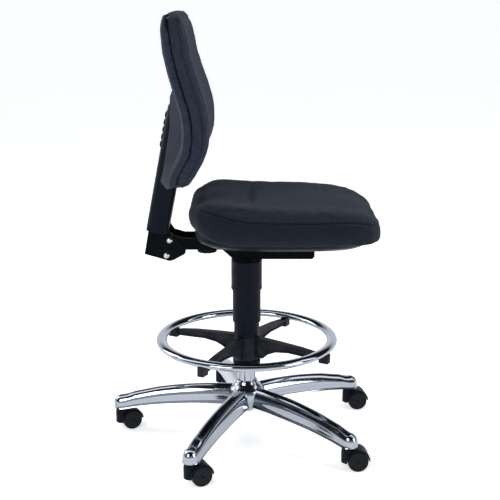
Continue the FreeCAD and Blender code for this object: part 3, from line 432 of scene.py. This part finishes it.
# Brightness of the studio round the X axis, as shares of the half circle from the wall
# behind the chair, over the ceiling, to the wall behind the camera.
STUDIO_LIGHT = [
    (0.0, 1.26),
    (0.12, 1.2),
    (0.18, 0.03),
    (0.37, 0.02),
    (0.41, 2.6),
    (0.50, 2.6),
    (0.54, 0.25),
    (0.62, 0.03),
    (0.84, 0.03),
    (0.89, 0.6),
    (1.0, 0.8),
]
STUDIO_STRENGTH = 0.8
FLOOR_HALF = 150  # far enough that its edge isn't seen
CHAIR_MIDDLE = (0, 0, 0.8)


def surroundings():
    """The studio as a world whose brightness changes only round the X axis."""
    world = bpy.data.worlds.new("studio")
    bpy.context.scene.world = world
    world.use_nodes = True
    tree = world.node_tree
    background = tree.nodes["Background"]
    coords = tree.nodes.new("ShaderNodeTexCoord")
    split = tree.nodes.new("ShaderNodeSeparateXYZ")
    turn = tree.nodes.new("ShaderNodeMath")
    turn.operation = "ARCTAN2"
    share = tree.nodes.new("ShaderNodeMath")
    share.operation = "DIVIDE"
    share.inputs[1].default_value = math.pi
    ramp = tree.nodes.new("ShaderNodeValToRGB")
    fill_ramp(ramp, [(at, (value * 0.97, value, value * 1.06)) for at, value in STUDIO_LIGHT])
    tree.links.new(coords.outputs["Generated"], split.inputs[0])
    tree.links.new(split.outputs["Z"], turn.inputs[0])
    tree.links.new(split.outputs["Y"], turn.inputs[1])
    tree.links.new(turn.outputs[0], share.inputs[0])
    tree.links.new(share.outputs[0], ramp.inputs["Fac"])
    tree.links.new(ramp.outputs["Color"], background.inputs["Color"])
    background.inputs["Strength"].default_value = STUDIO_STRENGTH


def white_floor():
    corners = [(-1, -1), (1, -1), (1, 1), (-1, 1)]
    mesh = bpy.data.meshes.new("floor")
    mesh.from_pydata([(x * FLOOR_HALF, y * FLOOR_HALF, 0) for x, y in corners], [], [(0, 1, 2, 3)])
    floor = bpy.data.objects.new("floor", mesh)
    bpy.context.collection.objects.link(floor)
    surface = Nodes("floor_surface", (0.9, 0.9, 0.9), 0.85)
    surface.set(surface.shader, "Emission Color", (1, 1, 1, 1))
    surface.set(surface.shader, "Emission Strength", 0.5)
    mesh.materials.append(surface.material)


def area_light(name, at, size, power):
    """A rectangular light aimed at the chair. size is its width and height."""
    data = bpy.data.lights.new(name, "AREA")
    data.shape = "RECTANGLE"
    data.size, data.size_y = size
    data.energy = power
    light = bpy.data.objects.new(name, data)
    light.location = at
    light.rotation_euler = (Vector(CHAIR_MIDDLE) - Vector(at)).to_track_quat("-Z", "Y").to_euler()
    bpy.context.collection.objects.link(light)


def camera():
    data = bpy.data.cameras.new("camera")
    data.lens = CAMERA_LENS
    data.sensor_width = SENSOR_W
    eye = bpy.data.objects.new("camera", data)
    eye.location = CAMERA_AT
    eye.rotation_euler = (math.radians(90 - CAMERA_DOWN), 0, 0)
    bpy.context.collection.objects.link(eye)
    bpy.context.scene.camera = eye
    bpy.context.scene.view_settings.view_transform = "Standard"


def studio():
    surroundings()
    white_floor()
    area_light("key", (-1.8, -2.8, 2.2), (1.6, 1.6), 62)
    area_light("fill", (2.8, -1.6, 1.5), (1.2, 2.0), 48)
    area_light("back", (-2.6, 1.2, 1.8), (1.2, 1.8), 26)
    camera()


# ---------------------------------------------------------------- curves


def smooth_step(low, high, value):
    """0 at low, 1 at high, eased between them. low may be the larger."""
    t = min(max((value - low) / (high - low), 0.0), 1.0)
    return t * t * (3 - 2 * t)


def bell(distance, width):
    return math.exp(-((distance / width) ** 2))


def patch(along, length, across, width):
    """1 in the middle of an oval patch, falling off round it."""
    return math.exp(-((along / length) ** 2) - (across / width) ** 2)


def read_table(table, x, column):
    """A column of a table at x, on straight lines from row to row."""
    if x <= table[0][0]:
        return table[0][column]
    for a, b in zip(table, table[1:]):
        if x <= b[0]:
            t = (x - a[0]) / (b[0] - a[0])
            return a[column] + (b[column] - a[column]) * t
    return table[-1][column]


def spline(table, x, column):
    """A column of a table at x, on a smooth curve through the rows."""
    rows = [table[0]] + list(table) + [table[-1]]
    for i in range(1, len(rows) - 2):
        if x <= rows[i + 1][0] or i == len(rows) - 3:
            before, a, b, after = (row[column] for row in rows[i - 1 : i + 3])
            t = (x - rows[i][0]) / (rows[i + 1][0] - rows[i][0])
            t = min(max(t, 0.0), 1.0)
            bend = (2 * a - 2 * b + (b - before) / 2 + (after - a) / 2) * t**3
            bend += (3 * b - 3 * a - (b - before) - (after - a) / 2) * t**2
            return bend + (b - before) / 2 * t + a
    return table[-1][column]


# ---------------------------------------------------------------- mesh tools


def shade_smooth(mesh):
    for polygon in mesh.polygons:
        polygon.use_smooth = True


def stand_for(piece, body, slot_name, *nodes):
    """Puts a piece on a body, in the place and the material of CAD nodes, and hides those nodes.
    """
    piece.data.materials.clear()
    piece.data.materials.append(MATERIALS[slot_name])
    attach(piece, body)
    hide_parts(*nodes)


def add_tube(bm, loops):
    """Faces between rows of points, each row a loop of the same length."""
    count = len(loops[0])
    for a, b in zip(loops, loops[1:]):
        for i in range(count):
            j = (i + 1) % count
            bm.faces.new((a[i], a[j], b[j], b[i]))


def bake_modifiers(piece):
    """Puts what the piece's modifiers make into its mesh."""
    graph = bpy.context.evaluated_depsgraph_get()
    mesh = bpy.data.meshes.new_from_object(piece.evaluated_get(graph))
    piece.modifiers.clear()
    piece.data = mesh


def remeshed(name, node, voxel, smoothing):
    """A free copy of a CAD node's mesh in even quads, its edges rounded by smoothing."""
    piece = bpy.data.objects.new(name, NODES[node].data.copy())
    bpy.context.collection.objects.link(piece)
    remesh = piece.modifiers.new("even", "REMESH")
    remesh.mode = "VOXEL"
    remesh.voxel_size = voxel
    soften = piece.modifiers.new("soften", "SMOOTH")
    soften.factor = 0.5
    soften.iterations = smoothing
    bake_modifiers(piece)
    return piece


def inflate(piece, limit):
    """Swells the piece as a bag of cloth with air pressure in it.

    limit(place, normal) is how far a point may move. No point moves inwards.
    """
    frames = 20
    start = [(v.co.copy(), v.normal.copy()) for v in piece.data.vertices]
    limits = [limit(place, normal) for place, normal in start]
    cloth = piece.modifiers.new("cloth", "CLOTH")
    cloth.settings.quality = 5
    cloth.settings.mass = 0.3
    cloth.settings.tension_stiffness = 12
    cloth.settings.compression_stiffness = 12
    cloth.settings.bending_stiffness = 0.6
    cloth.settings.use_pressure = True
    cloth.settings.uniform_pressure_force = 4.0
    cloth.settings.effector_weights.gravity = 0
    cloth.collision_settings.use_collision = False
    cloth.point_cache.frame_start = 1
    cloth.point_cache.frame_end = frames
    for number in range(1, frames + 1):
        bpy.context.scene.frame_set(number)
    bake_modifiers(piece)
    bpy.context.scene.frame_set(1)
    for vertex, (origin, normal), longest in zip(piece.data.vertices, start, limits):
        move = vertex.co - origin
        move -= normal * min(move.dot(normal), 0.0)
        if move.length > longest:
            move *= longest / move.length
        vertex.co = origin + move


def offset(piece, distance):
    """Moves every point along its normal by distance(place, normal)."""
    moves = [v.normal * distance(v.co, v.normal) for v in piece.data.vertices]
    for vertex, move in zip(piece.data.vertices, moves):
        vertex.co += move


def subdivide(piece):
    smoother = piece.modifiers.new("smoother", "SUBSURF")
    smoother.levels = 1
    smoother.render_levels = 1
    bake_modifiers(piece)


def groove(distance, width, depth):
    """How far a sewn seam pulls the cover in at a distance from its thread."""
    return -depth * bell(distance, width)


def mark(piece, name, value):
    """Stores value(place, normal) on the piece's points, for its material."""
    numbers = [value(v.co, v.normal) for v in piece.data.vertices]
    piece.data.attributes.new(name, "FLOAT", "POINT").data.foreach_set("value", numbers)


def unmarked(place, normal):
    return 0.0


# ---------------------------------------------------------------- cast base


def leg_stations():
    """(distance from the axis, underside, top, half width, shrinking) from root to tip."""
    stations = []
    for i in range(LEG_STATIONS):
        r = LEG_ROOT + (LEG_TIP - LEG_ROOT) * i / (LEG_STATIONS - 1)
        stations.append((r, *(spline(LEG_SECTIONS, r, column) for column in (1, 2, 3)), 1.0))
    low, high, half_w = stations[-1][1:4]
    for i in range(1, TIP_STATIONS + 1):
        turn = math.radians(90 * i / TIP_LAST)
        stations.append((LEG_TIP + half_w * math.sin(turn), low, high, half_w, math.cos(turn)))
    return stations


def leg_rows():
    """Cross-sections of a leg along +X: a rounded ridge that stands on a flared skirt."""
    ridge_w, ridge_z = LEG_FLANK[0]
    half_outline = []
    for k in range(RIDGE_STEPS):
        turn = math.radians(90 * k / RIDGE_STEPS)
        half_outline.append((ridge_w * math.sin(turn), ridge_z + (1 - ridge_z) * math.cos(turn)))
    half_outline += LEG_FLANK
    rows = []
    for r, low, high, half_w, shrink in leg_stations():
        points = []
        for y, z in half_outline:
            lift = ridge_z + (z - ridge_z) * shrink if z > ridge_z else z
            points.append((r, y * half_w * shrink, low + lift * (high - low)))
        mirrored = [(x, -y, z) for x, y, z in reversed(points[1:])]
        rows.append([tuple(c * MM for c in p) for p in points + mirrored])
    return rows


def leg_mesh():
    bm = bmesh.new()
    loops = [[bm.verts.new(p) for p in row] for row in leg_rows()]
    add_tube(bm, loops)
    bm.faces.new(loops[0][::-1])
    bm.faces.new(loops[-1])
    bmesh.ops.recalc_face_normals(bm, faces=bm.faces)
    mesh = bpy.data.meshes.new("leg")
    bm.to_mesh(mesh)
    bm.free()
    return mesh


def add_hub(bm):
    """The hub turned about the axis, with an open bore for the stand tube."""
    rings = []
    for r, z in HUB_PROFILE:
        circle = [2 * math.pi * k / HUB_STEPS for k in range(HUB_STEPS)]
        points = [(r * MM * math.cos(a), r * MM * math.sin(a), z * MM) for a in circle]
        rings.append([bm.verts.new(p) for p in points])
    for a, b in zip(rings, rings[1:] + rings[:1]):
        for k in range(HUB_STEPS):
            j = (k + 1) % HUB_STEPS
            bm.faces.new((a[k], b[k], b[j], a[j]))  # in the order that looks outwards


def star_casting():
    """The polished base: a hub, and five legs that run into it."""
    leg = leg_mesh()
    bm = bmesh.new()
    for i in range(LEGS):
        before = len(bm.verts)
        bm.from_mesh(leg)
        bm.verts.ensure_lookup_table()
        angle = FIRST_LEG + 2 * math.pi * i / LEGS
        cos, sin = math.cos(angle), math.sin(angle)
        for v in bm.verts[before:]:
            x, y, z = v.co
            v.co = (x * cos - y * sin, x * sin + y * cos, z)
    add_hub(bm)
    mesh = bpy.data.meshes.new("base_casting")
    bm.to_mesh(mesh)
    bm.free()
    bpy.data.meshes.remove(leg)
    shade_smooth(mesh)
    mesh.set_sharp_from_angle(angle=math.radians(CAST_EDGE))
    piece = bpy.data.objects.new("base_casting", mesh)
    bpy.context.collection.objects.link(piece)
    stand_for(piece, "base", "aluminium_polished", "star_base")


# ---------------------------------------------------------------- seat cushion


def seat_seam_distance(p):
    """Height over the line where the boxing meets the top panel."""
    return p.z - read_table(SEAT_SEAM, p.x / MM, 1) * MM


def tuck_distance(p):
    """Distance in front of the tuck, which bows forwards towards its ends."""
    return p.x - 0.012 - 0.15 * p.y * p.y


def tuck_depth(p):
    """The tuck is deep in the middle and runs out at both ends."""
    return bell(p.y - 0.01, 0.085)


# painted shade along the seat's seam groove and in its tuck
def seat_seam_shade(p, n):
    if n.z <= -0.5:
        return 0.0
    seam = bell(seat_seam_distance(p), 0.002)
    tuck = 0.8 * bell(tuck_distance(p), 0.003) * tuck_depth(p)
    return max(seam, tuck)


# painted shade: the whole seat cover a little darker than the backrest, and its boxing below the
# seam darker still
def seat_boxing_shade(p, n):
    return 0.85 + 0.85 * smooth_step(0.001, -0.004, seat_seam_distance(p))


def seat_relief(p, n):
    """The seam, the tuck, and the shallow hollow that sitting leaves."""
    side = smooth_step(0.15, 0.5, math.hypot(n.x, n.y))
    top = smooth_step(0.5, 0.9, n.z)
    seam = groove(seat_seam_distance(p), 0.0028, 0.0022) * side
    bulge = 0.0012 * bell(seat_seam_distance(p) - 0.011, 0.008) * side
    tuck = groove(tuck_distance(p), 0.009, 0.0075) * top * tuck_depth(p)
    sat_in = -0.004 * patch(p.x - 0.09, 0.11, p.y, 0.15) * top
    behind_tuck = 0.002 * patch(p.x + 0.045, 0.03, p.y, 0.12) * top
    return seam + bulge + tuck + sat_in + behind_tuck


def lower_seat_front(piece):
    """Brings the underside down over the board's front edge, but not below the board's top."""
    for vertex in piece.data.vertices:
        place = vertex.co
        fall = 0.016 * smooth_step(0.592, 0.562, place.z) * smooth_step(0.235, 0.295, place.x)
        if place.z > BOARD_TOP:
            place.z = max(place.z - fall, BOARD_TOP)


def seat_pad():
    """The seat cushion: foam in a sewn cover with boxing, and a tuck across its rear."""
    piece = remeshed("seat_pad", "seat_cushion", voxel=0.005, smoothing=10)

    def free(n):
        """0 on the flat underside, which rests on the board, and 1 elsewhere."""
        return 1 - smooth_step(-0.5, -0.9, n.z)

    inflate(piece, lambda p, n: 0.007 * free(n) + 0.0004)
    # the pressure lifts the top a little too much
    offset(piece, lambda p, n: -0.0016 * free(n) * smooth_step(0.3, 0.7, n.z))
    subdivide(piece)
    lower_seat_front(piece)
    offset(piece, seat_relief)
    mark(piece, "seam", seat_seam_shade)
    mark(piece, "boxing", seat_boxing_shade)
    shade_smooth(piece.data)
    stand_for(piece, "seat", "cover_fabric", "seat_cushion")


# ---------------------------------------------------------------- backrest


def back_depth(p):
    """How far a point lies in front of the surface through the backrest's seam."""
    z = p.z / MM
    seam = read_table(BACK_SHAPE, z, BACK_SEAM_X)
    half_w = read_table(BACK_SHAPE, z, BACK_HALF_W)
    hollow = read_table(BACK_SHAPE, z, BACK_HOLLOW)
    return p.x - (seam + hollow * ((p.y / MM / half_w) ** 2 - 1)) * MM


def past_board(p):
    """1 at the backrest's rim, outside its inner shell, and 0 over the shell."""
    half_w = read_table(BACK_SHAPE, p.z / MM, BACK_HALF_W) * MM
    side = smooth_step(half_w - 0.009, half_w - 0.004, abs(p.y))
    ends = smooth_step(0.708, 0.700, p.z) + smooth_step(1.056, 1.061, p.z)
    return max(side, min(ends, 1.0))


def back_edge_distance(p):
    """Distance in front of the front cushion's sewn edge."""
    thick = read_table(BACK_SHAPE, p.z / MM, BACK_THICK) * MM
    return back_depth(p) - BACK_EDGE * thick


# painted shade along the groove of the backrest cushion's sewn edge
def back_seam_shade(p, n):
    return bell(back_edge_distance(p), 0.002) if abs(n.x) < 0.9 else 0.0


# painted shade on the backrest cushion's boxing, behind its sewn edge
def back_boxing_shade(p, n):
    return 0.35 * smooth_step(0.001, -0.004, back_edge_distance(p))


def back_relief(p, n):
    """The sewn edge, and the bulge that fills the small of the back."""
    edge = groove(back_edge_distance(p), 0.0025, 0.0016) * smooth_step(0.85, 0.5, abs(n.x))
    lumbar = 0.003 * patch(p.z - 0.83, 0.06, p.y, 0.12)
    return edge + lumbar * smooth_step(0.6, 0.9, n.x)


def back_pad():
    """The front cushion of the backrest, sewn to its boxing near the front edge."""
    piece = remeshed("back_pad", "back_cushion", voxel=0.0044, smoothing=10)

    def free(n):
        """0 on the rear, which rests on the inner shell, and 1 elsewhere."""
        return 1 - smooth_step(-0.5, -0.9, n.x)

    offset(piece, lambda p, n: -0.001 * free(n) * abs(n.x))
    inflate(piece, lambda p, n: 0.006 * free(n) + 0.0003)
    subdivide(piece)
    offset(piece, back_relief)
    # the rim starts at one even depth all round
    for vertex in piece.data.vertices:
        depth = back_depth(vertex.co)
        share = past_board(vertex.co) * smooth_step(0.007, 0.003, depth)
        vertex.co.x -= (depth - FRONT_PAD_START) * share
    mark(piece, "seam", back_seam_shade)
    mark(piece, "boxing", back_boxing_shade)
    shade_smooth(piece.data)
    stand_for(piece, "backrest", "cover_fabric", "back_cushion")


def rear_pad():
    """The upholstered rear of the backrest, round its guide."""
    piece = remeshed("rear_pad", "back_rear_pad", voxel=0.004, smoothing=8)

    def free(n):
        """0 on the front, which rests on the inner shell, and 1 elsewhere."""
        return 1 - smooth_step(0.5, 0.9, n.x)

    inflate(piece, lambda p, n: 0.003 * free(n) + 0.0003)
    subdivide(piece)
    # the rim starts at one even depth, and the lower end hangs a little past the cushion's
    for vertex in piece.data.vertices:
        place = vertex.co
        depth = back_depth(place)
        share = past_board(place) * smooth_step(-0.016, -0.012, depth)
        place.x -= (depth - REAR_PAD_START) * share
        lower_end = smooth_step(0.715, 0.684, place.z)
        place.z -= 0.011 * lower_end
        place.x -= 0.0025 * lower_end
    mark(piece, "seam", unmarked)
    mark(piece, "boxing", unmarked)
    shade_smooth(piece.data)
    stand_for(piece, "backrest", "cover_fabric", "back_rear_pad")


# ---------------------------------------------------------------- the chair


def round_edges(node):
    """Breaks the sharp edges of a CAD node that is shown as it is."""
    edge = node.modifiers.new("rounded", "BEVEL")
    edge.width = ROUNDING
    edge.segments = 2
    edge.limit_method = "ANGLE"
    edge.angle_limit = math.radians(50)
    edge.harden_normals = True


paint_nodes()
studio()
star_casting()
seat_pad()
back_pad()
rear_pad()
for node_name in ROUNDED:
    round_edges(NODES[node_name])
